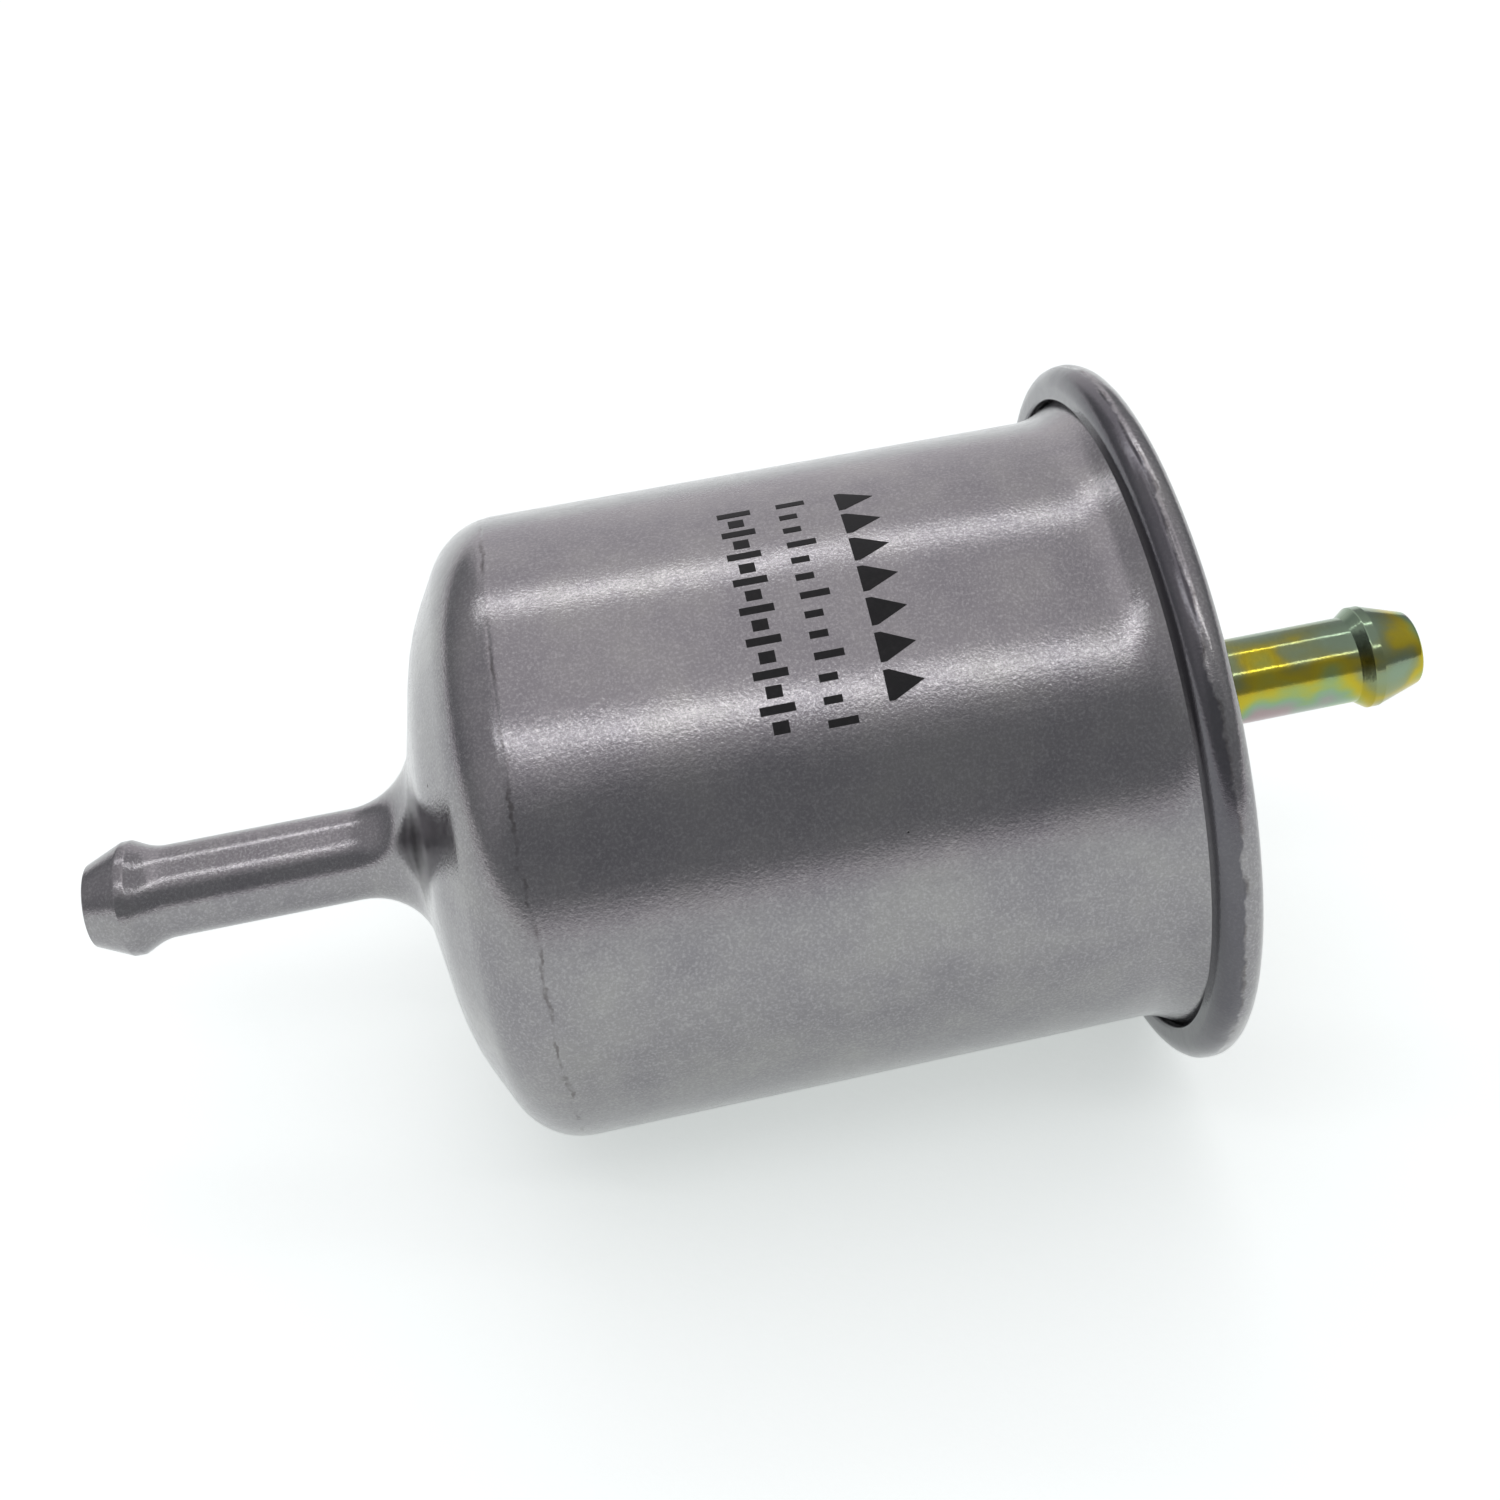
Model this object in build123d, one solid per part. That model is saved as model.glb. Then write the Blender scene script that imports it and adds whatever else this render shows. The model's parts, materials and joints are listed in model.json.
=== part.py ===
from build123d import *
from math import cos, hypot, pi, radians, sin, tan
import os

# A sealed in-line fuel filter, taken apart into its pieces.
# X is the filter's axis and the way the fuel flows: in at the nipple at -X, out at the one at +X.
# The origin is on the axis, half way along the straight band that a strap clamp holds. +Z is up.
# All sizes are in millimetres.

# Can: one light-alloy extrusion with its own inlet nipple
CAN_RADIUS = 27.25
CAN_WALL = 1.0
BAND_LENGTH = 48.0
SHOULDER_ROUND = 6.6
DOME_RIM_DEPTH = 4.6  # from the shoulder's corner to the dome's bend, along the axis
DOME_BEND_INSET = 8.6  # of the dome's bend, inside the band's radius
DOME_BEND_ROUND = 18.5
DOME_ROOT_DEPTH = 3.15  # from the dome's bend to the nipple's root, along the axis
ROOT_ROUND = 6.4
THROAT_ROUND = 2.0
FLARE_ANGLE = 29.0
FLARE_ROUND = 6.0
FLARE_LENGTH = 2.68  # from the flare's corner to the flange, along the axis
FLANGE_ROOT_ROUND = 0.6

# Rolled seam: the end cover's edge is folded round the can's flange
RIM_OVERHANG = 4.55  # beyond the band
RIM_WIDTH = 3.8
RIM_FLAT = 0.2  # left between the rim's two rounds
LIP_GAP = 0.1  # from the fold's lip to the flange's root
LIP_EDGE_ROUND = 0.3
GASKET_WIDTH = 0.9

# Nipples: both take the same hose
NIPPLE_RADIUS = 4.0
NIPPLE_BORE_RADIUS = 2.5
MOUTH_EDGE_ROUND = 0.2
INLET_LENGTH = 27.8  # from the tip to the root on the dome
INLET_TIP_WALL = 1.05
INLET_CREST_RISE = 0.95
INLET_NOSE = 3.1  # tip to crest
INLET_CREST_LAND = 0.8
INLET_CREST_ROUND = 0.5
INLET_BACK_SLOPE = 1.9
INLET_BACK_ROUND = 4.0
OUTLET_REACH = 26.55  # from the rim's back to the tip
OUTLET_TIP_WALL = 0.85
OUTLET_CREST_RISE = 0.75
OUTLET_NOSE = 4.4
OUTLET_CREST_LAND = 0.9
OUTLET_CREST_ROUND = 0.2
OUTLET_BACK_SLOPE = 1.1
OUTLET_TIP_ROUND = 0.5
COLLAR_WIDTH = 2.5  # beyond the nipple's radius
COLLAR_THICKNESS = 1.6
COLLAR_EDGE_ROUND = 0.3
SEAL_RING_THICKNESS = 0.8
SEAL_RING_INSET = 0.3  # under the collar's edge
SWAGE_WIDTH = 1.4  # beyond the nipple's radius
SWAGE_LENGTH = 1.2
SWAGE_ROUND = 0.5

# End cover: an alloy pressing
COVER_THICKNESS = 1.0
COVER_CLEARANCE = 0.1  # to the can's inside
COVER_RECESS = 3.0
COVER_WALL_ROUND = 1.0
PANEL_RADIUS = 19.0  # of the raised middle
PANEL_RISE = 1.3
PANEL_SLOPE = 1.6
PANEL_ROUND = 1.2

# Filter element
ELEMENT_CLEARANCE = 3.5  # end caps to the can's inside: the way the fuel takes
OUTLET_CAP_GAP = 3.0
CAP_THICKNESS = 0.6
CAP_SKIRT = 5.0
CAP_CORNER_ROUND = 1.2
CAP_EDGE_ROUND = 0.2
CAP_BOSS_RADIUS = 6.0
CAP_BOSS_RISE = 1.5
CAP_BOSS_ROUND = 0.8
POTTING_DEPTH = 3.0
POTTING_FILM = 0.5  # adhesive between the paper's end and the cap
CORE_RADIUS = 9.0
CORE_WALL = 0.5
CORE_HOLE_RADIUS = 1.5
CORE_HOLE_PITCH = 5.0
CORE_HOLE_DIRECTIONS = 4  # through holes in one row, each piercing both sides
PAPER_THICKNESS = 0.4
PLEAT_COUNT = 36
PLEAT_HALF_FOLD = 0.5  # half the flat of one outer fold
PLEAT_CORE_GAP = 0.2
PLEAT_CAP_GAP = 0.6
CLIP_THICKNESS = 0.3
CLIP_LEG = 3.0
CLIP_CLEARANCE = 0.05

# Grommet that seals the element on the outlet spigot
GROMMET_WALL = 1.2  # spigot to the cap's hole
GROMMET_LIP = 1.3  # over the cap's face
GROMMET_FLANGE = 1.5
GROMMET_EDGE_ROUND = 0.4
SPIGOT_OVERHANG = 1.0

# Leaf spring that pushes the element on to the spigot
SPRING_HEIGHT = 8.4  # squeezed between the dome and the cap
SPRING_THICKNESS = 0.5
SPRING_BORE_CLEARANCE = 0.3  # to the boss on the inlet cap
SPRING_SEAT_WIDTH = 2.4
SPRING_FOOT_INSET = 2.4  # from the dome's bend
SPRING_FOOT_LENGTH = 2.0
SPRING_FOOT_RISE = 1.0
SPRING_FOOT_CROWN = 0.17  # that the foot's round takes off its corner
SPRING_BEND = 0.8
SPRING_FINGERS = 6
SPRING_SLOT = 5.0
SPRING_SLOT_INSET = 1.0  # from the seat's bend to the slots' ends

# Stations along the axis, from the inlet to the outlet
shoulder_end = -BAND_LENGTH / 2
flare_corner = BAND_LENGTH / 2 + FLARE_ROUND * tan(radians(FLARE_ANGLE / 2))
can_flange = flare_corner + FLARE_LENGTH
rim_front = can_flange - COVER_THICKNESS
rim_back = rim_front + RIM_WIDTH
panel_groove = rim_back - COVER_RECESS
panel_face = panel_groove + PANEL_RISE
outlet_cap_face = panel_groove - COVER_THICKNESS - OUTLET_CAP_GAP
outlet_tip = rim_back + OUTLET_REACH

# Radii that follow from the driving sizes
rim_radius = CAN_RADIUS + RIM_OVERHANG
can_inside = CAN_RADIUS - CAN_WALL
bend_radius = CAN_RADIUS - DOME_BEND_INSET
rim_round = (RIM_WIDTH - RIM_FLAT) / 2
seam_edge = rim_radius - rim_round
flange_root = CAN_RADIUS + FLARE_LENGTH * tan(radians(FLARE_ANGLE))
cap_radius = can_inside - ELEMENT_CLEARANCE
cap_inside = cap_radius - CAP_THICKNESS
pleat_inside = CORE_RADIUS + PLEAT_CORE_GAP + PAPER_THICKNESS / 2
collar_radius = NIPPLE_RADIUS + COLLAR_WIDTH
cap_hole = NIPPLE_RADIUS + GROMMET_WALL
pleat_outside = cap_inside - PLEAT_CAP_GAP - PAPER_THICKNESS / 2

# The shoulder's corner lies outside its arc by the arc's tangent length
dome_rim_slant = hypot(DOME_RIM_DEPTH, DOME_BEND_INSET)
shoulder_tangent = SHOULDER_ROUND * DOME_BEND_INSET / (dome_rim_slant + DOME_RIM_DEPTH)
shoulder_corner = shoulder_end - shoulder_tangent
bend_station = shoulder_corner - DOME_RIM_DEPTH
root_station = bend_station - DOME_ROOT_DEPTH
inlet_tip = root_station - INLET_LENGTH


def turned(outline):
    """The solid of a closed outline of (x, radius, corner round) points, turned about the X axis."""
    points = [(x, radius) for x, radius, corner in outline]
    rounds = [corner for x, radius, corner in outline]
    section = make_face(FilletPolyline(*points, radius=rounds, close=True))
    return revolve(section, axis=Axis.X)


def far_face(near, thickness):
    """The other face of a sheet whose near face is a list of (x, radius, corner round) points.

    The metal lies to the right of the near face's direction of travel. The far face runs parallel to it,
    with each corner round larger or smaller by the thickness.
    """
    steps = []
    for (x0, r0, _), (x1, r1, _) in zip(near, near[1:]):
        steps.append(Vector(x1 - x0, r1 - r0).normalized())
    far = []
    for index, (x, radius, corner) in enumerate(near):
        before = steps[max(index - 1, 0)]
        after = steps[min(index, len(steps) - 1)]
        right_before = Vector(before.Y, -before.X)
        right_after = Vector(after.Y, -after.X)
        shift = (right_before + right_after) * (thickness / (1 + right_before.dot(right_after)))
        turn = before.cross(after).Z
        if turn > 0:
            corner += thickness
        elif turn < 0:
            corner -= thickness
        far.append((x + shift.X, radius + shift.Y, max(corner, 0)))
    return far


def pressed(near, thickness):
    """A turned sheet-metal pressing from its near face."""
    return turned(near + far_face(near, thickness)[::-1])


def around_axis(piece, count, start=0.0):
    """Copies of a piece spaced evenly about the X axis."""
    return [Rot(X=start + 360 * index / count) * piece for index in range(count)]


# Can -------------------------------------------------------------------------------------------------

can_outside = [
    (root_station, NIPPLE_RADIUS, ROOT_ROUND),
    (bend_station, bend_radius, DOME_BEND_ROUND),
    (shoulder_corner, CAN_RADIUS, SHOULDER_ROUND),
    (flare_corner, CAN_RADIUS, FLARE_ROUND),
    (can_flange, flange_root, FLANGE_ROOT_ROUND),
    (can_flange, seam_edge, 0),
]
can_lining = far_face(can_outside, CAN_WALL)
dome_start, dome_bend = can_lining[0], can_lining[1]
dome_lean = (dome_bend[0] - dome_start[0]) / (dome_bend[1] - dome_start[1])


def dome_inside(radius):
    """Station of the dome's inside face at a radius within its bend."""
    return dome_start[0] + dome_lean * (radius - dome_start[1])


spring_foot = bend_radius - SPRING_FOOT_INSET
inlet_cap_face = dome_inside(spring_foot) + SPRING_HEIGHT


def housing_can():
    """Extruded can: barbed inlet nipple, dome, straight band, and the mouth flared to a flange."""
    crest_start = inlet_tip + INLET_NOSE
    crest_end = crest_start + INLET_CREST_LAND
    nipple = [
        (inlet_tip, NIPPLE_BORE_RADIUS, MOUTH_EDGE_ROUND),
        (inlet_tip, NIPPLE_BORE_RADIUS + INLET_TIP_WALL, MOUTH_EDGE_ROUND),
        (crest_start, NIPPLE_RADIUS + INLET_CREST_RISE, INLET_CREST_ROUND),
        (crest_end, NIPPLE_RADIUS + INLET_CREST_RISE, INLET_CREST_ROUND),
        (crest_end + INLET_BACK_SLOPE, NIPPLE_RADIUS, INLET_BACK_ROUND),
    ]
    throat = [(dome_inside(NIPPLE_BORE_RADIUS), NIPPLE_BORE_RADIUS, THROAT_ROUND)]
    lining = throat + can_lining[1:]
    return turned(nipple + can_outside + lining[::-1])


# Seam and end cover ----------------------------------------------------------------------------------

def end_cover():
    """Alloy pressing: an edge folded round the can's flange, a recess, and a raised middle."""
    wall = can_inside - COVER_CLEARANCE - COVER_THICKNESS
    outer_face = [
        (rim_front, flange_root + LIP_GAP, LIP_EDGE_ROUND),
        (rim_front, rim_radius, rim_round),
        (rim_back, rim_radius, rim_round),
        (rim_back, wall, COVER_WALL_ROUND + COVER_THICKNESS),
        (panel_groove, wall, COVER_WALL_ROUND),
        (panel_groove, PANEL_RADIUS + PANEL_SLOPE, PANEL_ROUND),
        (panel_face, PANEL_RADIUS, PANEL_ROUND + COVER_THICKNESS),
        (panel_face, NIPPLE_RADIUS, 0),
    ]
    return pressed(outer_face, COVER_THICKNESS)


def seam_gasket():
    """Flat ring squeezed between the can's flange and the cover."""
    front = can_flange + CAN_WALL
    back = rim_back - COVER_THICKNESS
    inside = seam_edge - GASKET_WIDTH
    return turned([
        (front, inside, 0),
        (front, seam_edge, 0),
        (back, seam_edge, 0),
        (back, inside, 0),
    ])


# Outlet nipple ---------------------------------------------------------------------------------------

grommet_front = outlet_cap_face - CAP_THICKNESS - GROMMET_FLANGE
grommet_back = outlet_cap_face + GROMMET_FLANGE
spigot_end = grommet_front - SPIGOT_OVERHANG


def outlet_nipple():
    """Turned steel nipple swaged into the cover, with a spigot, a collar and a sharp-backed barb."""
    swage_back = panel_face - COVER_THICKNESS
    swage_front = swage_back - SWAGE_LENGTH
    swage_radius = NIPPLE_RADIUS + SWAGE_WIDTH
    collar_front = panel_face + SEAL_RING_THICKNESS
    collar_back = collar_front + COLLAR_THICKNESS
    crest_end = outlet_tip - OUTLET_NOSE
    crest_start = crest_end - OUTLET_CREST_LAND
    crest_radius = NIPPLE_RADIUS + OUTLET_CREST_RISE
    return turned([
        (spigot_end, NIPPLE_BORE_RADIUS, 0),
        (spigot_end, NIPPLE_RADIUS, COLLAR_EDGE_ROUND),
        (swage_front, NIPPLE_RADIUS, 0),
        (swage_front, swage_radius, SWAGE_ROUND),
        (swage_back, swage_radius, 0),
        (swage_back, NIPPLE_RADIUS, 0),
        (collar_front, NIPPLE_RADIUS, 0),
        (collar_front, collar_radius, COLLAR_EDGE_ROUND),
        (collar_back, collar_radius, COLLAR_EDGE_ROUND),
        (collar_back, NIPPLE_RADIUS, COLLAR_EDGE_ROUND),
        (crest_start - OUTLET_BACK_SLOPE, NIPPLE_RADIUS, 0),
        (crest_start, crest_radius, OUTLET_CREST_ROUND),
        (crest_end, crest_radius, OUTLET_CREST_ROUND),
        (outlet_tip, NIPPLE_BORE_RADIUS + OUTLET_TIP_WALL, OUTLET_TIP_ROUND),
        (outlet_tip, NIPPLE_BORE_RADIUS, MOUTH_EDGE_ROUND),
    ])


def nipple_seal_ring():
    """Flat ring squeezed under the nipple's collar."""
    back = panel_face + SEAL_RING_THICKNESS
    outside = collar_radius - SEAL_RING_INSET
    return turned([
        (panel_face, NIPPLE_RADIUS, 0),
        (panel_face, outside, 0),
        (back, outside, 0),
        (back, NIPPLE_RADIUS, 0),
    ])


# Filter element --------------------------------------------------------------------------------------

def outlet_end_cap():
    """Sheet cup over the element's outlet end, with the grommet's hole."""
    return pressed([
        (outlet_cap_face - CAP_SKIRT, cap_radius, CAP_EDGE_ROUND),
        (outlet_cap_face, cap_radius, CAP_CORNER_ROUND),
        (outlet_cap_face, cap_hole, 0),
    ], CAP_THICKNESS)


def inlet_end_cap():
    """Closed sheet cup over the element's inlet end, with a boss that centres the spring."""
    boss_face = inlet_cap_face - CAP_BOSS_RISE
    return pressed([
        (boss_face, 0, 0),
        (boss_face, CAP_BOSS_RADIUS, CAP_BOSS_ROUND + CAP_THICKNESS),
        (inlet_cap_face, CAP_BOSS_RADIUS, CAP_BOSS_ROUND),
        (inlet_cap_face, cap_radius, CAP_CORNER_ROUND),
        (inlet_cap_face + CAP_SKIRT, cap_radius, CAP_EDGE_ROUND),
    ], CAP_THICKNESS)


def pleat_point(radius, fold_angle, offset):
    """A point beside a fold: at the fold's radius, offset across it."""
    across = fold_angle + pi / 2
    y = radius * cos(fold_angle) + offset * cos(across)
    z = radius * sin(fold_angle) + offset * sin(across)
    return (y, z)


def pleat_loop(outer_radius, inner_radius, outer_half_fold, inner_half_fold):
    """Closed star outline with a flat fold at each tip and each root."""
    loop = []
    pitch = 2 * pi / PLEAT_COUNT
    for index in range(PLEAT_COUNT):
        tip_angle = index * pitch
        root_angle = tip_angle + pitch / 2
        for side in (-1, 1):
            loop.append(pleat_point(outer_radius, tip_angle, side * outer_half_fold))
        for side in (-1, 1):
            loop.append(pleat_point(inner_radius, root_angle, side * inner_half_fold))
    return loop


def pleated_paper():
    """Folded filter paper, standing between the two end caps."""
    start = inlet_cap_face + CAP_THICKNESS + POTTING_FILM
    end = outlet_cap_face - CAP_THICKNESS - POTTING_FILM
    half = PAPER_THICKNESS / 2
    root_half_fold = pi * pleat_inside / PLEAT_COUNT / 2
    outer_flat = PLEAT_HALF_FOLD
    outside = pleat_loop(pleat_outside + half, pleat_inside + half, outer_flat + half, root_half_fold - half)
    inside = pleat_loop(pleat_outside - half, pleat_inside - half, outer_flat - half, root_half_fold + half)
    plane = Plane(origin=(start, 0, 0), x_dir=(0, 1, 0), z_dir=(1, 0, 0))
    section = make_face(Polyline(*outside, close=True)) - make_face(Polyline(*inside, close=True))
    return extrude(plane * section, amount=end - start, dir=(1, 0, 0))


def potting(cap_inner_face, direction, paper):
    """Ring of set adhesive in an end cap, with the paper's end standing in it."""
    open_face = cap_inner_face + direction * POTTING_DEPTH
    ring = turned([
        (cap_inner_face, CORE_RADIUS, 0),
        (cap_inner_face, cap_inside - CAP_CORNER_ROUND, 0),
        (cap_inner_face + direction * CAP_CORNER_ROUND, cap_inside, 0),
        (open_face, cap_inside, 0),
        (open_face, CORE_RADIUS, 0),
    ])
    return ring - paper


def core_tube():
    """Perforated tube that keeps the paper from being pressed inward."""
    start = inlet_cap_face + CAP_THICKNESS
    end = outlet_cap_face - CAP_THICKNESS
    tube = turned([
        (start, CORE_RADIUS - CORE_WALL, 0),
        (start, CORE_RADIUS, 0),
        (end, CORE_RADIUS, 0),
        (end, CORE_RADIUS - CORE_WALL, 0),
    ])
    free_length = end - start - 2 * POTTING_DEPTH - 2 * CORE_HOLE_RADIUS
    rows = int(free_length / CORE_HOLE_PITCH)
    first_row = (start + end) / 2 - (rows - 1) * CORE_HOLE_PITCH / 2
    row_angle = 180 / CORE_HOLE_DIRECTIONS
    drill = Cylinder(CORE_HOLE_RADIUS, 2 * (CORE_RADIUS + CORE_WALL))
    holes = []
    for row in range(rows):
        stagger = row % 2 * row_angle / 2
        for direction in range(CORE_HOLE_DIRECTIONS):
            turn = Rot(X=stagger + direction * row_angle)
            holes.append(turn * Pos(X=first_row + row * CORE_HOLE_PITCH) * drill)
    return tube - holes


def pleat_seam_clip():
    """Metal channel crimped along the fold where the paper's two ends meet."""
    start = inlet_cap_face + CAP_SKIRT + CLIP_CLEARANCE
    end = outlet_cap_face - CAP_SKIRT - CLIP_CLEARANCE
    half_width = PLEAT_HALF_FOLD + PAPER_THICKNESS / 2 + CLIP_CLEARANCE
    fold_top = pleat_outside + PAPER_THICKNESS / 2 + CLIP_CLEARANCE
    outer_half = half_width + CLIP_THICKNESS
    outer_top = fold_top + CLIP_THICKNESS
    foot = fold_top - CLIP_LEG
    channel = Polyline(
        (foot, -outer_half),
        (outer_top, -outer_half),
        (outer_top, outer_half),
        (foot, outer_half),
        (foot, half_width),
        (fold_top, half_width),
        (fold_top, -half_width),
        (foot, -half_width),
        close=True,
    )
    plane = Plane(origin=(start, 0, 0), x_dir=(0, 1, 0), z_dir=(1, 0, 0))
    return extrude(plane * make_face(channel), amount=end - start, dir=(1, 0, 0))


def spigot_grommet():
    """Rubber grommet in the outlet cap's hole, sliding on the outlet nipple's spigot."""
    cap_back = outlet_cap_face
    cap_front = outlet_cap_face - CAP_THICKNESS
    return turned([
        (grommet_front, NIPPLE_RADIUS, GROMMET_EDGE_ROUND),
        (grommet_front, cap_hole + GROMMET_LIP, GROMMET_EDGE_ROUND),
        (cap_front, cap_hole + GROMMET_LIP, 0),
        (cap_front, cap_hole, 0),
        (cap_back, cap_hole, 0),
        (cap_back, cap_hole + GROMMET_LIP, 0),
        (grommet_back, cap_hole + GROMMET_LIP, GROMMET_EDGE_ROUND),
        (grommet_back, NIPPLE_RADIUS, GROMMET_EDGE_ROUND),
    ])


def hold_down_spring():
    """Leaf spring between the dome and the inlet cap: a flat seat ring with raised fingers."""
    seat = inlet_cap_face - SPRING_THICKNESS
    bore = CAP_BOSS_RADIUS + CAP_BOSS_ROUND + SPRING_BORE_CLEARANCE
    seat_edge = bore + SPRING_SEAT_WIDTH
    foot = inlet_cap_face - SPRING_HEIGHT - SPRING_FOOT_CROWN
    foot_end = spring_foot + SPRING_FOOT_LENGTH
    cone = pressed([
        (seat, bore, 0),
        (seat, seat_edge, SPRING_BEND),
        (foot, spring_foot, SPRING_BEND + SPRING_THICKNESS),
        (foot + SPRING_FOOT_RISE, foot_end, 0),
    ], SPRING_THICKNESS)
    slot_start = seat_edge + SPRING_SLOT_INSET
    slot_reach = foot_end + SPRING_THICKNESS * 2 - slot_start
    slot_depth = 2 * (seat - foot)
    slot = Box(slot_depth, slot_reach, SPRING_SLOT, align=(Align.CENTER, Align.MIN, Align.CENTER))
    placed = Pos(X=(seat + foot) / 2, Y=slot_start) * slot
    return cone - around_axis(placed, SPRING_FINGERS)


paper = pleated_paper()
nodes = {
    "housing_can": housing_can(),
    "end_cover": end_cover(),
    "seam_gasket": seam_gasket(),
    "outlet_nipple": outlet_nipple(),
    "nipple_seal_ring": nipple_seal_ring(),
    "outlet_end_cap": outlet_end_cap(),
    "inlet_end_cap": inlet_end_cap(),
    "pleated_paper": paper,
    "outlet_potting": potting(outlet_cap_face - CAP_THICKNESS, -1, paper),
    "inlet_potting": potting(inlet_cap_face + CAP_THICKNESS, 1, paper),
    "core_tube": core_tube(),
    "pleat_seam_clip": pleat_seam_clip(),
    "spigot_grommet": spigot_grommet(),
    "hold_down_spring": hold_down_spring(),
}

os.makedirs("parts", exist_ok=True)
for name, shape in nodes.items():
    export_step(shape, f"parts/{name}.step")
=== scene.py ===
import json
from math import asin, ceil, cos, exp, hypot, pi, radians, sin, tan

import bpy
from mathutils import Matrix, Vector, noise


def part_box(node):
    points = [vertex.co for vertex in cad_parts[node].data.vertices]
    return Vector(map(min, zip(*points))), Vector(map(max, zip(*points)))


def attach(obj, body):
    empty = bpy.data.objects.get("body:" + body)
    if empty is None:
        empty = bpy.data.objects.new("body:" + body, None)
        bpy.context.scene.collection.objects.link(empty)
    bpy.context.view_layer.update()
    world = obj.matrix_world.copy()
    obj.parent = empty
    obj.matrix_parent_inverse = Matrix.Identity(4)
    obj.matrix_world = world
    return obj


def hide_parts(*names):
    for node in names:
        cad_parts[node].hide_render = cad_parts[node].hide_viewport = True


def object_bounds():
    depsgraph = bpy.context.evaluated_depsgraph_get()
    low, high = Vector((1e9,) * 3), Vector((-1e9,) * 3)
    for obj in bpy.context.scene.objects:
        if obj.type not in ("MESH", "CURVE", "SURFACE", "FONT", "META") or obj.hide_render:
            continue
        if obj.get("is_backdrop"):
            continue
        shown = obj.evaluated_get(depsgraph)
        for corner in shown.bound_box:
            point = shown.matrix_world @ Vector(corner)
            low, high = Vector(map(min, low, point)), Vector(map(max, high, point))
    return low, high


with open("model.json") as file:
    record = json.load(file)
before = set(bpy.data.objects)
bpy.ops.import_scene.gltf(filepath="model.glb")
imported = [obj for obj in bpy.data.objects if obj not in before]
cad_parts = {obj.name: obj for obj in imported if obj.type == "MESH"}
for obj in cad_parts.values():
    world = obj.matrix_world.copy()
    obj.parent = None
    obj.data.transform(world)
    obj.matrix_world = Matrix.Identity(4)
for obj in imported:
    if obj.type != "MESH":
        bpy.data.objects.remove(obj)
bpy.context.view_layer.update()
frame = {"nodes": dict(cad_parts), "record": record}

MM = 0.001
nodes = frame["nodes"]
mounts = {mount["name"]: mount for mount in frame["record"]["mounts"]}

# Sizes that the frame gives, in millimetres -----------------------------------------------------------

can_low, can_high = (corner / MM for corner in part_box("housing_can"))
_, cover_high = (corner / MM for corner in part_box("end_cover"))
band_radius = mounts["body_band"]["dims"]["r_mm"]
band_length = mounts["body_band"]["dims"]["length_mm"]
inlet_tip = can_low.x
rim_radius = cover_high.z
rim_back = cover_high.x
shoulder_end = -band_length / 2

# Sizes of the can and its rim, as in the CAD, in millimetres ------------------------------------------

CAN_WALL = 1.0
SHOULDER_ROUND = 6.6
DOME_RIM_DEPTH = 4.6
DOME_BEND_INSET = 8.6
DOME_BEND_ROUND = 18.5
DOME_ROOT_DEPTH = 3.15
ROOT_ROUND = 6.4
THROAT_ROUND = 2.0
NIPPLE_RADIUS = 4.0
BORE_RADIUS = 2.5
INLET_TIP_WALL = 1.05
INLET_CREST_RISE = 0.95
INLET_NOSE = 3.1
INLET_CREST_LAND = 0.8
INLET_BACK_SLOPE = 1.9
INLET_MOUTH_ROUND = 0.2
INLET_TIP_ROUND = 0.25
INLET_CREST_ROUND = 0.5
INLET_BACK_ROUND = 4.0
FLARE_ANGLE = radians(29)
FLARE_ROUND = 6.0
FLARE_LENGTH = 2.68
FLANGE_ROOT_ROUND = 0.6
RIM_WIDTH = 3.8
RIM_FLAT = 0.2
LIP_GAP = 0.1
LIP_EDGE_ROUND = 0.3
COVER_THICKNESS = 1.0
COVER_CLEARANCE = 0.1
COVER_RECESS = 3.0
COVER_WALL_ROUND = 1.0
PANEL_RADIUS = 19.0
PANEL_RISE = 1.3
PANEL_SLOPE = 1.6
PANEL_ROUND = 1.2

rim_round = (RIM_WIDTH - RIM_FLAT) / 2
rim_front = rim_back - RIM_WIDTH
flare_corner = band_length / 2 + FLARE_ROUND * tan(FLARE_ANGLE / 2)
flange_root = band_radius + FLARE_LENGTH * tan(FLARE_ANGLE)
can_flange = flare_corner + FLARE_LENGTH
dome_slant = hypot(DOME_RIM_DEPTH, DOME_BEND_INSET)
shoulder_corner = shoulder_end - SHOULDER_ROUND * DOME_BEND_INSET / (dome_slant + DOME_RIM_DEPTH)
bend_station = shoulder_corner - DOME_RIM_DEPTH
root_station = bend_station - DOME_ROOT_DEPTH


# Turned meshes ----------------------------------------------------------------------------------------

SEGMENTS = 320
ARC_STEP = radians(6)
CAN_STEP = 1.5
COVER_STEP = 0.6
FINE_STEP = 0.09  # near a worn line
FINE_REACH = 0.6  # to either side of it


def far_face(near, thickness):
    """The other face of a sheet, to the right of its near face's direction of travel."""
    steps = []
    for (x0, r0, _), (x1, r1, _) in zip(near, near[1:]):
        steps.append(Vector((x1 - x0, r1 - r0)).normalized())
    far = []
    for index, (x, radius, corner) in enumerate(near):
        before = steps[max(index - 1, 0)]
        after = steps[min(index, len(steps) - 1)]
        right_before = Vector((before.y, -before.x))
        right_after = Vector((after.y, -after.x))
        shift = (right_before + right_after) * (thickness / (1 + right_before.dot(right_after)))
        turn = before.x * after.y - before.y * after.x
        if turn > 0:
            corner += thickness
        elif turn < 0:
            corner -= thickness
        far.append((x + shift.x, radius + shift.y, max(corner, 0)))
    return far


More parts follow.
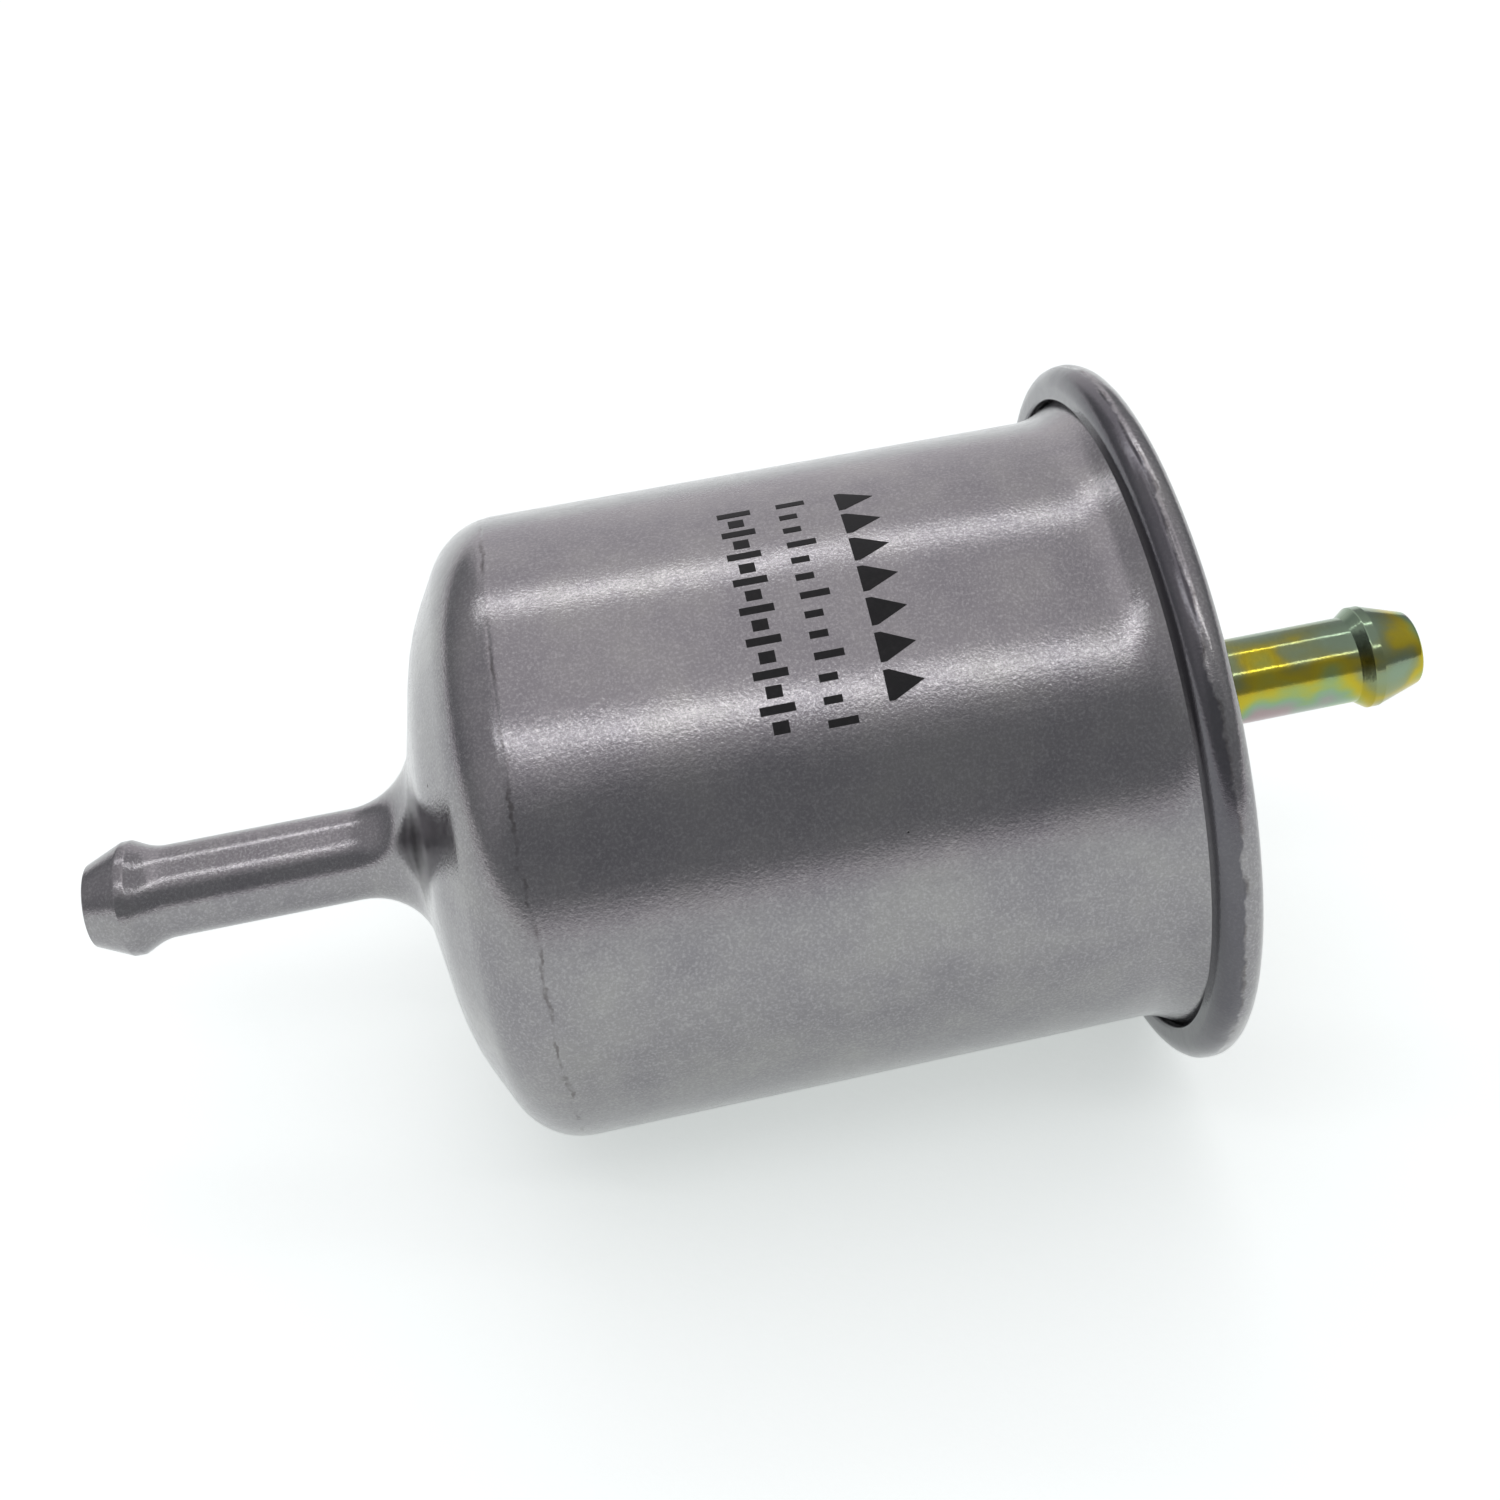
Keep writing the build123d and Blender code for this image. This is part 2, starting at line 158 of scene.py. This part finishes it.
def rounded(outline, longest, fine_x):
    """Points along a closed outline of (x, radius, corner round) corners, none further apart than longest.

    On the outside they lie closer together near the fine_x station, where a worn line runs round."""
    stops = []
    count = len(outline)
    for index, (x, radius, corner) in enumerate(outline):
        here = Vector((x, radius))
        back = (Vector(outline[index - 1][:2]) - here).normalized()
        ahead = (Vector(outline[(index + 1) % count][:2]) - here).normalized()
        turn = pi - back.angle(ahead)
        if corner <= 0 or turn < ARC_STEP / 10:
            stops.append(here)
            continue
        reach = corner * tan(turn / 2)
        centre = here + (back + ahead).normalized() * (corner / cos(turn / 2))
        start = here + back * reach - centre
        side = 1 if back.x * ahead.y - back.y * ahead.x < 0 else -1
        pieces = max(2, ceil(turn / ARC_STEP))
        for step in range(pieces + 1):
            angle = side * turn * step / pieces
            across = start.x * cos(angle) - start.y * sin(angle)
            along = start.x * sin(angle) + start.y * cos(angle)
            stops.append(centre + Vector((across, along)))
    points = []
    for here, after in zip(stops, stops[1:] + stops[:1]):
        middle = (here + after) / 2
        near_line = abs(middle.x - fine_x) < FINE_REACH and middle.y > band_radius - CAN_WALL / 2
        spacing = FINE_STEP if near_line else longest
        pieces = max(1, ceil((after - here).length / spacing))
        for step in range(pieces):
            points.append(here.lerp(after, step / pieces))
    return points


def lathe(name, outline, longest, material, wear, fine_x):
    """A closed mesh turned about the X axis. wear(x, radius, angle) says how far a point moves outward."""
    profile = rounded(outline, longest, fine_x)
    vertices = []
    for segment in range(SEGMENTS):
        angle = 2 * pi * segment / SEGMENTS
        for point in profile:
            radius = point.y + wear(point.x, point.y, angle)
            vertices.append((point.x * MM, -radius * sin(angle) * MM, radius * cos(angle) * MM))
    faces = []
    length = len(profile)
    for segment in range(SEGMENTS):
        this = segment * length
        following = (segment + 1) % SEGMENTS * length
        for index in range(length):
            after = (index + 1) % length
            faces.append((this + index, this + after, following + after, following + index))
    mesh = bpy.data.meshes.new(name)
    mesh.from_pydata(vertices, [], faces)
    mesh.shade_smooth()
    mesh.materials.append(material)
    piece = bpy.data.objects.new(name, mesh)
    bpy.context.scene.collection.objects.link(piece)
    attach(piece, "root")
    return piece


def noise_at(x, angle, size, seed):
    """Smooth noise on the band, about -0.5 to 0.5, whose spots are about size millimetres across."""
    around = Vector((x, band_radius * sin(angle), band_radius * cos(angle))) / size
    return noise.noise(around + Vector((seed, 0, 0)))


# Materials --------------------------------------------------------------------------------------------

DRAW_LINE_INSET = 0.75  # from the band's end, on to the shoulder
DRAW_LINE_X = shoulder_end - DRAW_LINE_INSET
DRAW_LINE_STAIN = 0.22  # half the width of its dirt
CREASE_STATION = 0.46  # of the rim's width, from its front
CREASE_X = rim_front + CREASE_STATION * RIM_WIDTH
CREASE_STAIN = 0.30
LIP_SHADE_GAP = 0.2  # from the crease to the painted shade in front of it


class Finish:
    """A procedural material. Its methods add nodes, and finish joins the last of them to the shader."""

    def __init__(self, name, **constants):
        self.material = bpy.data.materials.new(name)
        self.material.use_nodes = True
        self.tree = self.material.node_tree
        self.shader = self.tree.nodes["Principled BSDF"]
        for socket, value in constants.items():
            self.shader.inputs[socket.replace("_", " ")].default_value = value
        self.place = self.tree.nodes.new("ShaderNodeTexCoord").outputs["Object"]

    def put(self, socket, value):
        if isinstance(value, bpy.types.NodeSocket):
            self.tree.links.new(value, socket)
        else:
            socket.default_value = value

    def node(self, kind, **settings):
        made = self.tree.nodes.new("ShaderNode" + kind)
        for key, value in settings.items():
            setattr(made, key, value)
        return made

    def stretched(self, x, y, z):
        """The place, stretched so that a pattern on it is that many times finer along each axis."""
        mapping = self.node("Mapping")
        self.put(mapping.inputs["Vector"], self.place)
        self.put(mapping.inputs["Scale"], (x, y, z))
        return mapping.outputs["Vector"]

    def cloud(self, size, detail=3.0, roughness=0.55, place=None):
        """Noise from 0 to 1 whose spots are about size millimetres across."""
        made = self.node("TexNoise")
        self.put(made.inputs["Vector"], place or self.place)
        self.put(made.inputs["Scale"], 1 / (size * MM))
        self.put(made.inputs["Detail"], detail)
        self.put(made.inputs["Roughness"], roughness)
        return made.outputs["Fac"]

    def cells(self, size):
        """(distance from a cell's middle, its random colour) for cells about size millimetres across."""
        made = self.node("TexVoronoi")
        self.put(made.inputs["Vector"], self.place)
        self.put(made.inputs["Scale"], 1 / (size * MM))
        return made.outputs["Distance"], made.outputs["Color"]

    def calc(self, operation, a, b=0.5):
        """Arithmetic on one or two values. An operation on one value ignores b."""
        made = self.node("Math", operation=operation)
        self.put(made.inputs[0], a)
        self.put(made.inputs[1], b)
        return made.outputs[0]

    def remap(self, value, low, high, to_low=0.0, to_high=1.0):
        made = self.node("MapRange", interpolation_type="SMOOTHSTEP")
        for socket, number in zip(made.inputs, (value, low, high, to_low, to_high)):
            self.put(socket, number)
        return made.outputs["Result"]

    def mix(self, factor, a, b):
        made = self.node("Mix", data_type="RGBA")
        self.put(made.inputs["Factor"], factor)
        self.put(made.inputs[6], a)
        self.put(made.inputs[7], b)
        return made.outputs[2]

    def ramp(self, value, stops):
        made = self.node("ValToRGB")
        self.put(made.inputs["Fac"], value)
        elements = made.color_ramp.elements
        while len(elements) < len(stops):
            elements.new(0.5)
        for element, (position, colour) in zip(elements, stops):
            element.position = position
            element.color = (*colour, 1)
        made.color_ramp.interpolation = "B_SPLINE"
        return made.outputs["Color"]

    def bump(self, height, depth, under=None):
        """A bump of that depth in millimetres for a height from 0 to 1."""
        made = self.node("Bump")
        self.put(made.inputs["Height"], height)
        self.put(made.inputs["Distance"], depth * MM)
        if under:
            self.put(made.inputs["Normal"], under)
        return made.outputs["Normal"]

    def finish(self, colour, roughness, normal):
        for name, value in (("Base Color", colour), ("Roughness", roughness), ("Normal", normal)):
            self.put(self.shader.inputs[name], value)
        return self.material


def can_alloy(name, line_x, line_width, lip_shade_x=None):
    """Drawn aluminium with a fine satin grain, mottled, with small pits and a broken line of dirt round it.

    Where a lip station is given, its outside in front of that station is also darkened: painted shade in the
    groove under the rim's lip."""
    made = Finish(name, Metallic=1.0)
    mottle = made.cloud(9, detail=6, roughness=0.62)
    patches = made.cloud(1.6, detail=5, roughness=0.7)
    speckle = made.cloud(0.24, detail=3, roughness=0.7)
    colour = made.ramp(mottle, [
        (0.32, (0.205, 0.198, 0.212)),
        (0.50, (0.250, 0.242, 0.252)),
        (0.68, (0.285, 0.281, 0.277)),
    ])
    colour = made.mix(made.remap(patches, 0.35, 0.75, 0.0, 0.30), colour, (0.21, 0.203, 0.213, 1))
    colour = made.mix(made.remap(speckle, 0.42, 0.75, 0.0, 0.55), colour, (0.42, 0.415, 0.42, 1))
    distance, tone = made.cells(2.4)
    rare = made.remap(tone, 0.80, 0.84)
    pit = made.calc("MULTIPLY", made.remap(distance, 0.055, 0.03), rare)
    colour = made.mix(pit, colour, (0.03, 0.028, 0.03, 1))
    scratches = made.cloud(1.0, detail=3, place=made.stretched(0.12, 3.0, 3.0))
    rough = made.calc("ADD", made.remap(scratches, 0.3, 0.8, -0.03, 0.03),
                      made.remap(patches, 0.3, 0.7, 0.12, 0.20))
    along = made.node("SeparateXYZ")
    made.put(along.inputs[0], made.place)
    wander = made.remap(made.cloud(4, detail=4, roughness=0.7), 0.0, 1.0, -0.7 * MM, 0.7 * MM)
    from_line = made.calc("ADD", along.outputs["X"], line_x * -MM)
    offset = made.calc("ABSOLUTE", made.calc("ADD", from_line, wander))
    squares = [made.calc("MULTIPLY", along.outputs[axis], along.outputs[axis]) for axis in "YZ"]
    radius = made.calc("SQRT", made.calc("ADD", *squares))
    outside = made.remap(radius, (band_radius - CAN_WALL) * MM, (band_radius - CAN_WALL / 2) * MM)
    broken = made.remap(made.cloud(2.2, detail=4), 0.42, 0.62)
    line = made.calc("MULTIPLY", made.remap(offset, line_width * MM, 0.05 * MM), broken)
    line = made.calc("MULTIPLY", line, outside)
    colour = made.mix(made.calc("MULTIPLY", line, 0.55), colour, (0.07, 0.060, 0.058, 1))
    # Painted shade: the outside in front of the lip station is darkened to stand in for the shadow in the
    # groove under the rim's lip.
    if lip_shade_x:
        station = made.calc("ADD", along.outputs["X"], wander)
        lip_shade = made.remap(station, (lip_shade_x + 0.3) * MM, lip_shade_x * MM)
        lip_shade = made.calc("MULTIPLY", lip_shade, outside)
        colour = made.mix(made.calc("MULTIPLY", lip_shade, 0.75), colour, (0.075, 0.073, 0.085, 1))
    grain = made.cloud(0.26, detail=3, roughness=0.65)
    normal = made.bump(made.cloud(3.4, detail=2), 0.014)
    normal = made.bump(grain, 0.017, normal)
    normal = made.bump(pit, -0.05, normal)
    return made.finish(colour, rough, normal)


def yellow_zinc():
    """Zinc plate with an iridescent yellow passivate, from green through gold to pink as it gets thicker."""
    made = Finish("yellow_zinc", Metallic=1.0)
    drift = made.cloud(7.0, detail=1, roughness=0.4)
    stain = made.cloud(1.6, detail=2, roughness=0.5, place=made.stretched(0.5, 1.0, 1.0))
    film = made.calc("ADD", made.calc("MULTIPLY", drift, 0.88), made.calc("MULTIPLY", stain, 0.12))
    colour = made.ramp(film, [
        (0.34, (0.22, 0.30, 0.22)),
        (0.42, (0.24, 0.27, 0.12)),
        (0.46, (0.40, 0.34, 0.04)),
        (0.50, (0.48, 0.38, 0.02)),
        (0.55, (0.30, 0.38, 0.10)),
        (0.60, (0.20, 0.36, 0.26)),
        (0.66, (0.38, 0.27, 0.29)),
    ])
    turning = made.cloud(0.10, detail=2, place=made.stretched(1.0, 0.05, 0.05))
    rough = made.remap(made.cloud(0.9), 0.3, 0.7, 0.09, 0.15)
    normal = made.bump(turning, 0.003)
    normal = made.bump(made.cloud(0.5, detail=3), 0.008, normal)
    return made.finish(colour, rough, normal)


def plain_metal(name, light, dark, roughness, grain):
    """Sheet metal whose tone wanders a little, with rolling lines along the axis."""
    made = Finish(name, Metallic=1.0)
    colour = made.mix(made.cloud(3.0), (*light, 1), (*dark, 1))
    lines = made.cloud(grain, place=made.stretched(0.1, 1.0, 1.0))
    rough = made.remap(lines, 0.3, 0.7, roughness - 0.06, roughness + 0.08)
    return made.finish(colour, rough, made.bump(lines, 0.006))


def seal_rubber():
    made = Finish("seal_rubber", Specular_IOR_Level=0.35)
    colour = made.mix(made.cloud(1.2), (0.018, 0.018, 0.019, 1), (0.04, 0.04, 0.042, 1))
    grain = made.cloud(0.15)
    return made.finish(colour, made.remap(grain, 0.3, 0.7, 0.55, 0.75), made.bump(grain, 0.02))


def filter_paper():
    made = Finish("filter_paper", Specular_IOR_Level=0.2)
    fibres = made.cloud(0.35, detail=4, roughness=0.7, place=made.stretched(0.25, 1.0, 1.0))
    colour = made.ramp(fibres, [
        (0.30, (0.60, 0.44, 0.20)),
        (0.55, (0.74, 0.58, 0.30)),
        (0.75, (0.82, 0.70, 0.44)),
    ])
    return made.finish(colour, made.remap(fibres, 0.3, 0.7, 0.85, 0.95), made.bump(fibres, 0.04))


def potting():
    made = Finish("potting", Coat_Weight=0.2)
    colour = made.mix(made.cloud(2.5), (0.06, 0.13, 0.10, 1), (0.11, 0.19, 0.15, 1))
    waves = made.cloud(1.6, detail=1)
    return made.finish(colour, made.remap(waves, 0.3, 0.7, 0.35, 0.5), made.bump(waves, 0.08))


def ink():
    """Black print, worn thin in places."""
    made = Finish("print_ink", Specular_IOR_Level=0.2)
    worn = made.cloud(0.5, detail=4, roughness=0.7)
    colour = made.ramp(worn, [(0.45, (0.005, 0.005, 0.006)), (0.75, (0.022, 0.021, 0.022))])
    return made.finish(colour, made.remap(worn, 0.3, 0.7, 0.40, 0.55), made.bump(worn, 0.01))


finishes = {
    "can_alloy": can_alloy("can_alloy", DRAW_LINE_X, DRAW_LINE_STAIN),
    "rim_alloy": can_alloy("rim_alloy", CREASE_X, CREASE_STAIN, CREASE_X - LIP_SHADE_GAP),
    "yellow_zinc": yellow_zinc(),
    "seal_rubber": seal_rubber(),
    "tinplate": plain_metal("tinplate", (0.66, 0.67, 0.68), (0.56, 0.57, 0.59), 0.26, 0.5),
    "spring_steel": plain_metal("spring_steel", (0.42, 0.43, 0.45), (0.33, 0.34, 0.36), 0.34, 0.3),
    "filter_paper": filter_paper(),
    "potting": potting(),
    "print_ink": ink(),
}
for subpart in frame["record"]["subparts"]:
    mesh = nodes[subpart["node"]].data
    mesh.materials.clear()
    mesh.materials.append(finishes[subpart["material_slot"]])


# The can ----------------------------------------------------------------------------------------------

DRAW_LINE_WIDTH = 0.16
DRAW_LINE_DEPTH = 0.03
WAVE_HEIGHT = 0.03
WAVE_SIZE = 14
WORN_DEPTH = 3  # below the middle of the band's wall, where the wear stops


def can_wear(x, radius, angle):
    """The line that the die left at the shoulder, and a slight waviness of the band."""
    if radius < band_radius - CAN_WALL / 2 - WORN_DEPTH:
        return 0.0
    wander = 0.2 * noise_at(0, angle, size=9, seed=3)
    line = exp(-((x - DRAW_LINE_X + wander) / DRAW_LINE_WIDTH) ** 2)
    broken = max(0.0, 0.5 + 1.6 * noise_at(x, angle, size=4, seed=11))
    return WAVE_HEIGHT * noise_at(x, angle, WAVE_SIZE, seed=5) - DRAW_LINE_DEPTH * line * broken


crest_start = inlet_tip + INLET_NOSE
crest_end = crest_start + INLET_CREST_LAND
can_outside = [
    (root_station, NIPPLE_RADIUS, ROOT_ROUND),
    (bend_station, band_radius - DOME_BEND_INSET, DOME_BEND_ROUND),
    (shoulder_corner, band_radius, SHOULDER_ROUND),
    (flare_corner, band_radius, FLARE_ROUND),
    (can_flange, flange_root, FLANGE_ROOT_ROUND),
    (can_flange, can_high.z, 0),
]
lining = far_face(can_outside, CAN_WALL)
dome_lean = (lining[1][0] - lining[0][0]) / (lining[1][1] - lining[0][1])
throat_station = lining[0][0] + dome_lean * (BORE_RADIUS - lining[0][1])
can_outline = [
    (inlet_tip, BORE_RADIUS, INLET_MOUTH_ROUND),
    (inlet_tip, BORE_RADIUS + INLET_TIP_WALL, INLET_TIP_ROUND),
    (crest_start, NIPPLE_RADIUS + INLET_CREST_RISE, INLET_CREST_ROUND),
    (crest_end, NIPPLE_RADIUS + INLET_CREST_RISE, INLET_CREST_ROUND),
    (crest_end + INLET_BACK_SLOPE, NIPPLE_RADIUS, INLET_BACK_ROUND),
    *can_outside,
    *lining[:0:-1],
    (throat_station, BORE_RADIUS, THROAT_ROUND),
]
can = lathe("can_shell", can_outline, CAN_STEP, finishes["can_alloy"], can_wear, DRAW_LINE_X)
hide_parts("housing_can")

# The end cover with its folded rim --------------------------------------------------------------------

CREASE_DEPTH = 0.10
CREASE_WIDTH = 0.22
DENT_DEPTH = 0.03
DENT_SIZE = 2.5


def rim_wear(x, radius, angle):
    """A broken crease along the top of the folded rim."""
    if radius < rim_radius - rim_round:
        return 0.0
    station = CREASE_X + 0.25 * noise_at(0, angle, size=6, seed=7)
    line = exp(-((x - station) / CREASE_WIDTH) ** 2)
    broken = max(0.0, 0.45 + 1.5 * noise_at(x, angle, size=3, seed=2))
    dents = DENT_DEPTH * (noise_at(x, angle, DENT_SIZE, seed=9) - 0.5)
    return min(0.0, dents - CREASE_DEPTH * line * broken)


cover_wall = band_radius - CAN_WALL - COVER_CLEARANCE - COVER_THICKNESS
panel_groove = rim_back - COVER_RECESS
panel_face = panel_groove + PANEL_RISE
cover_outside = [
    (rim_front, flange_root + LIP_GAP, LIP_EDGE_ROUND),
    (rim_front, rim_radius, rim_round),
    (rim_back, rim_radius, rim_round),
    (rim_back, cover_wall, COVER_WALL_ROUND + COVER_THICKNESS),
    (panel_groove, cover_wall, COVER_WALL_ROUND),
    (panel_groove, PANEL_RADIUS + PANEL_SLOPE, PANEL_ROUND),
    (panel_face, PANEL_RADIUS, PANEL_ROUND + COVER_THICKNESS),
    (panel_face, NIPPLE_RADIUS, 0),
]
cover_outline = cover_outside + far_face(cover_outside, COVER_THICKNESS)[::-1]
cover = lathe("folded_cover", cover_outline, COVER_STEP, finishes["rim_alloy"],
              rim_wear, CREASE_X)
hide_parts("end_cover")


# Print ------------------------------------------------------------------------------------------------

INK_THICKNESS = 0.03
INK_ROOT = 0.1  # that a mark reaches into the can's wall
PRINT_START = -2.2  # along the circumference from the top, towards the front
PRINT_STEP = 0.25


def triangle(start, foot, length, width, blunt):
    """Stations (along the circumference, low x, high x) of a triangle that points the way the fuel flows."""
    return [
        (start, foot, foot + blunt),
        (start + width / 2, foot, foot + length),
        (start + width, foot, foot + blunt),
    ]


def bar(start, foot, length, width):
    return [(start, foot, foot + length), (start + width, foot, foot + length)]


def print_row(name, marks):
    """Raised ink marks on the band, each a closed curved prism."""
    vertices, faces = [], []
    for stations in marks:
        rings = 0
        first = len(vertices)
        for (start, low0, high0), (end, low1, high1) in zip(stations, stations[1:]):
            pieces = max(1, ceil((end - start) / PRINT_STEP))
            last = stations[-1][0] == end
            for step in range(pieces + last):
                share = step / pieces
                angle = (PRINT_START + start + (end - start) * share) / band_radius
                low = low0 + (low1 - low0) * share
                high = high0 + (high1 - high0) * share
                top, root = INK_THICKNESS, -INK_ROOT
                for x, height in ((low, root), (low, top), (high, top), (high, root)):
                    radius = band_radius + height
                    vertices.append((x * MM, -radius * sin(angle) * MM, radius * cos(angle) * MM))
                rings += 1
        for ring in range(rings - 1):
            base = first + 4 * ring
            for side in range(4):
                after = (side + 1) % 4
                faces.append((base + side, base + after, base + 4 + after, base + 4 + side))
        faces.append(tuple(first + side for side in (3, 2, 1, 0)))
        faces.append(tuple(first + 4 * (rings - 1) + side for side in range(4)))
    mesh = bpy.data.meshes.new(name)
    mesh.from_pydata(vertices, [], faces)
    mesh.materials.append(finishes["print_ink"])
    piece = bpy.data.objects.new(name, mesh)
    bpy.context.scene.collection.objects.link(piece)
    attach(piece, "root")


TRIANGLES = 7
TRIANGLE_PITCH = 3.15
TICKS = 13
TICK_PITCH = 1.83
TICK_LENGTHS = (2.4, 1.5, 1.5)
BLOCKS = 8
BLOCK_PITCH = 2.86

triangles = [triangle(TRIANGLE_PITCH * k, foot=4.9, length=3.1, width=2.5, blunt=0.5)
             for k in range(TRIANGLES)]
ticks = [bar(TICK_PITCH * k, foot=-0.1, length=TICK_LENGTHS[k % 3], width=0.62) for k in range(TICKS)]
long_bars = [bar(BLOCK_PITCH * k, foot=-5.1, length=2.8, width=0.70) for k in range(BLOCKS)]
squares = [bar(BLOCK_PITCH * k + 1.30, foot=-4.35, length=1.3, width=1.0) for k in range(BLOCKS)]
print_row("print_flow_arrows", triangles)
print_row("print_ticks", ticks)
print_row("print_blocks", long_bars + squares)

# Floor, light and camera ------------------------------------------------------------------------------

# The filter lies on its shoulder and its rim, so the floor leans a little in the part's own frame.
rest_span = rim_front + rim_round - shoulder_end
rest_drop = rim_radius - rim_round - (band_radius - SHOULDER_ROUND)
rest_rounds = SHOULDER_ROUND - rim_round
lean = asin(rest_drop / hypot(rest_span, rest_drop)) - asin(rest_rounds / hypot(rest_span, rest_drop))
floor_up = Vector((sin(lean), 0, cos(lean)))
floor_depth = floor_up.dot(Vector((shoulder_end, 0, SHOULDER_ROUND - band_radius))) - SHOULDER_ROUND

FLOOR_SIDE = 6000.0
FLOOR_GLOW = (0.95, 1.0, 0.975, 1)
FLOOR_DULL = (0.865, 0.89, 0.88, 1)
FLOOR_BRIGHT = (0.885, 0.91, 0.90, 1)

floor_finish = Finish("floor_paper", Specular_IOR_Level=0.1, Emission_Color=FLOOR_GLOW,
                      Emission_Strength=0.46)
paper_grain = floor_finish.cloud(0.8)
floor_material = floor_finish.finish(
    floor_finish.mix(floor_finish.cloud(60), FLOOR_DULL, FLOOR_BRIGHT),
    floor_finish.remap(paper_grain, 0.3, 0.7, 0.8, 0.95),
    floor_finish.bump(paper_grain, 0.02),
)
corner = FLOOR_SIDE / 2 * MM
floor_mesh = bpy.data.meshes.new("floor")
floor_corners = [(-corner, -corner, 0), (corner, -corner, 0), (corner, corner, 0), (-corner, corner, 0)]
floor_mesh.from_pydata(floor_corners, [], [(0, 1, 2, 3)])
floor_mesh.materials.append(floor_material)
floor = bpy.data.objects.new("floor", floor_mesh)
bpy.context.scene.collection.objects.link(floor)
floor.rotation_euler = (0, lean, 0)
floor.location = floor_up * floor_depth * MM
floor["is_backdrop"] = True


LAMP_DISTANCE = 500
LAMP_SHIFT = 20  # towards the outlet
LAMP_LENGTH = 560
LAMP_WIDTH = 30
LAMP_POWER = 0.19


def strip_light(name, elevation, twist):
    """A long lamp over the filter, twisted from its axis. At 90 it is overhead, and at less it is in front."""
    data = bpy.data.lights.new(name, "AREA")
    data.shape = "RECTANGLE"
    data.size = LAMP_LENGTH * MM
    data.size_y = LAMP_WIDTH * MM
    data.energy = LAMP_POWER
    lamp = bpy.data.objects.new(name, data)
    away = Vector((0, -cos(radians(elevation)), sin(radians(elevation))))
    lamp.location = (away * LAMP_DISTANCE + Vector((LAMP_SHIFT, 0, 0))) * MM
    nearer = Vector((1, 0, 0)).cross(away)
    along = Vector((1, 0, 0)) * cos(radians(twist)) + nearer * sin(radians(twist))
    lamp.rotation_euler = Matrix((along, away.cross(along), away)).transposed().to_euler()
    bpy.context.scene.collection.objects.link(lamp)


strip_light("near_strip", elevation=65.5, twist=17)
strip_light("far_strip", elevation=121.5, twist=13)

# The room is pale overhead, behind the filter and just over the floor's edge, and darker in between at both
# ends and in front.
ROOM_PALE = (1.0, 0.965, 1.0, 1)
ROOM_DARK = (0.33, 0.335, 0.35, 1)
SIDE_GLOW = 0.45

world = bpy.data.worlds.new("studio")
bpy.context.scene.world = world
world.use_nodes = True
sky = world.node_tree.nodes["Background"]


def sky_node(kind, **settings):
    made = world.node_tree.nodes.new("ShaderNode" + kind)
    for key, value in settings.items():
        setattr(made, key, value)
    return made


def sky_link(source, target):
    world.node_tree.links.new(source, target)


def sky_fade(value, dark, pale):
    """0 where the value is at dark, 1 where it is at pale, and smooth between them."""
    made = sky_node("MapRange", interpolation_type="SMOOTHSTEP")
    sky_link(value, made.inputs["Value"])
    made.inputs["From Min"].default_value = dark
    made.inputs["From Max"].default_value = pale
    return made.outputs["Result"]


def sky_math(operation, a, b):
    made = sky_node("Math", operation=operation)
    sky_link(a, made.inputs[0])
    if isinstance(b, float):
        made.inputs[1].default_value = b
    else:
        sky_link(b, made.inputs[1])
    return made.outputs[0]


toward = sky_node("SeparateXYZ")
place = sky_node("TexCoord")
sky_link(place.outputs["Generated"], toward.inputs[0])
front = sky_fade(toward.outputs["Y"], -0.72, -0.42)
level = sky_node("VectorMath", operation="DOT_PRODUCT")
sky_link(place.outputs["Generated"], level.inputs[0])
level.inputs[1].default_value = floor_up
skirt = sky_fade(level.outputs["Value"], 0.085, 0.055)
low = sky_fade(level.outputs["Value"], 0.18, 0.04)
left = sky_fade(toward.outputs["X"], -0.42, -0.14)
right = sky_fade(toward.outputs["X"], 0.44, 0.16)
high = sky_math("MULTIPLY", sky_fade(toward.outputs["Z"], 0.10, 0.80), SIDE_GLOW)
sides = sky_math("MAXIMUM", sky_math("MULTIPLY", left, right), high)
pale = sky_math("MAXIMUM", sky_math("MULTIPLY", sky_math("MAXIMUM", front, low), sides), skirt)
tone = sky_node("Mix", data_type="RGBA")
sky_link(pale, tone.inputs["Factor"])
tone.inputs[6].default_value = ROOM_DARK
tone.inputs[7].default_value = ROOM_PALE
sky_link(tone.outputs[2], sky.inputs["Color"])

CAMERA_PLACE = Vector((-13.245, -129.269, 116.595))
CAMERA_AHEAD = Vector((0.11673, 0.83202, -0.54232))
CAMERA_UP = Vector((0.17375, 0.52052, 0.83598))
SENSOR_WIDTH = 36
LENS = 45.61
CAMERA_SHIFT = (-0.0554, -0.1951)

camera_data = bpy.data.cameras.new("camera")
camera_data.sensor_width = SENSOR_WIDTH
camera_data.lens = LENS
camera_data.shift_x, camera_data.shift_y = CAMERA_SHIFT
camera_data.clip_start = 0.01
camera_data.clip_end = 20
camera = bpy.data.objects.new("camera", camera_data)
camera_right = CAMERA_AHEAD.cross(CAMERA_UP)
camera.rotation_euler = Matrix((camera_right, CAMERA_UP, -CAMERA_AHEAD)).transposed().to_euler()
camera.location = CAMERA_PLACE * MM
bpy.context.scene.collection.objects.link(camera)
bpy.context.scene.camera = camera
bpy.context.scene.view_settings.view_transform = "Standard"

low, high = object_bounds()
